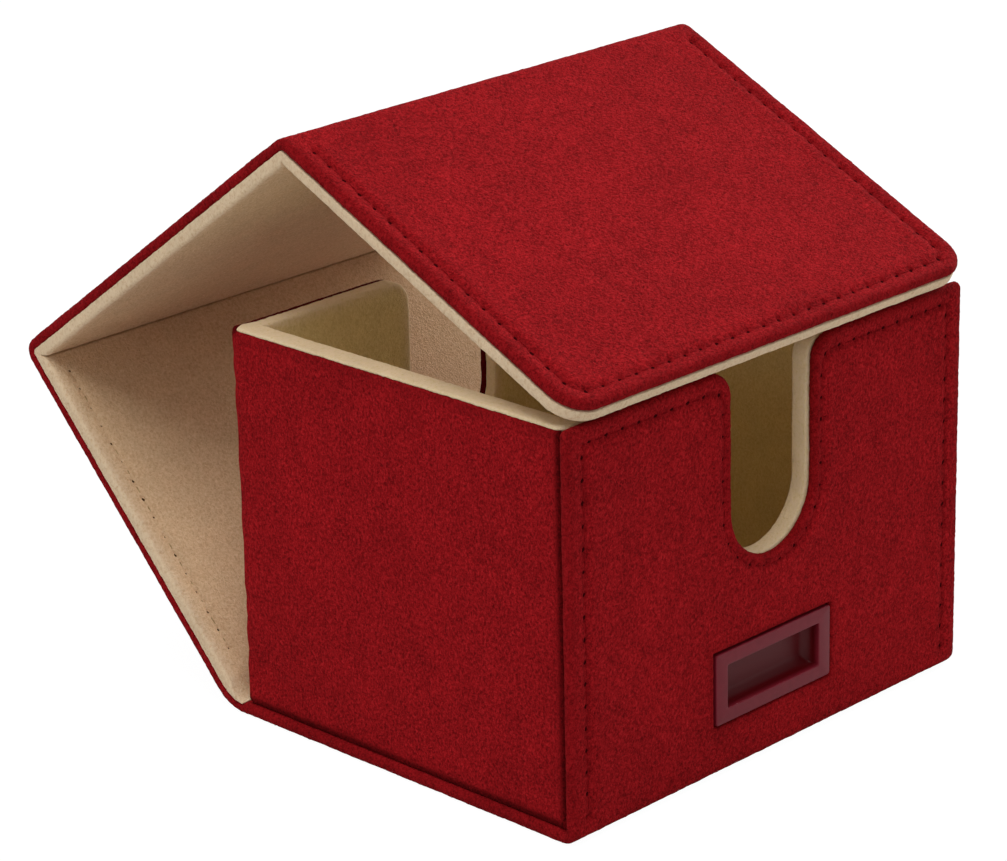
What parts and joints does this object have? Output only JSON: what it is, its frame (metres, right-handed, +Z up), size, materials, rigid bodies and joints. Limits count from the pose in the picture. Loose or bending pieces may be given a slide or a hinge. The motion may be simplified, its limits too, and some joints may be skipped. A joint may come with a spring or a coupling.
{
  "type": "card deck box",
  "caption": "Flip-top box for a deck of sleeved trading cards, with thumb notches front and back and a three-panel folding lid with a magnetic catch.",
  "frame": {"origin": "centre of the tray's footprint, on the surface it stands on", "axes": "+Z up, X across the box, -Y out of the front face, which holds the catch"},
  "size_m": [0.1058, 0.1447, 0.114],
  "materials": {
    "cover_suede": "dark red short-nap suede, bonded to a thin stiff backing",
    "lining_suede": "cream microfibre suede",
    "board": "grey stiffening board",
    "thread": "dark red sewing thread",
    "catch_plastic": "satin dark red plastic",
    "steel": "plated"
  },
  "bodies": {
    "box": {"wrap_cover": "cover_suede", "base_board": "board", "tray_skin": "cover_suede", "left_board": "board", "right_board": "board", "front_board": "board", "back_board": "board", "floor_board": "board", "left_lining": "lining_suede", "right_lining": "lining_suede", "front_lining": "lining_suede", "back_lining": "lining_suede", "floor_lining": "lining_suede", "catch_cup": "catch_plastic", "catch_plate": "steel", "front_stitching": "thread"},
    "back_panel": {"back_panel_cover": "cover_suede", "back_panel_board": "board", "back_panel_lining": "lining_suede", "back_panel_stitching": "thread"},
    "top_panel": {"top_fold_strip": "cover_suede", "top_panel_cover": "cover_suede", "top_panel_board": "board", "top_panel_lining": "lining_suede", "top_panel_stitching": "thread"},
    "flap": {"flap_fold_strip": "cover_suede", "flap_cover": "cover_suede", "flap_board": "board", "flap_lining": "lining_suede", "flap_stitching": "thread", "flap_keeper": "catch_plastic", "flap_magnet": "steel"}
  },
  "joints": [
    {"name": "back_hinge", "type": "hinge", "parent": "box", "child": "back_panel", "pos_m": [0, 0.0459, 0.001], "axis": [-1, 0, 0], "range_deg": [-42.74, 47.26]},
    {"name": "top_hinge", "type": "hinge", "parent": "back_panel", "child": "top_panel", "pos_m": [0, 0.09945, 0.05895], "axis": [-1, 0, 0], "range_deg": [-7.34, 6.64]},
    {"name": "flap_hinge", "type": "hinge", "parent": "top_panel", "child": "flap", "pos_m": [0, 0.02527, 0.11303], "axis": [-1, 0, 0], "range_deg": [-17.69, 16]}
  ],
  "couplings": [
    {"joint": "top_hinge", "follows": "back_hinge", "ratio": -0.15537},
    {"joint": "flap_hinge", "follows": "back_hinge", "ratio": -0.37436}
  ]
}
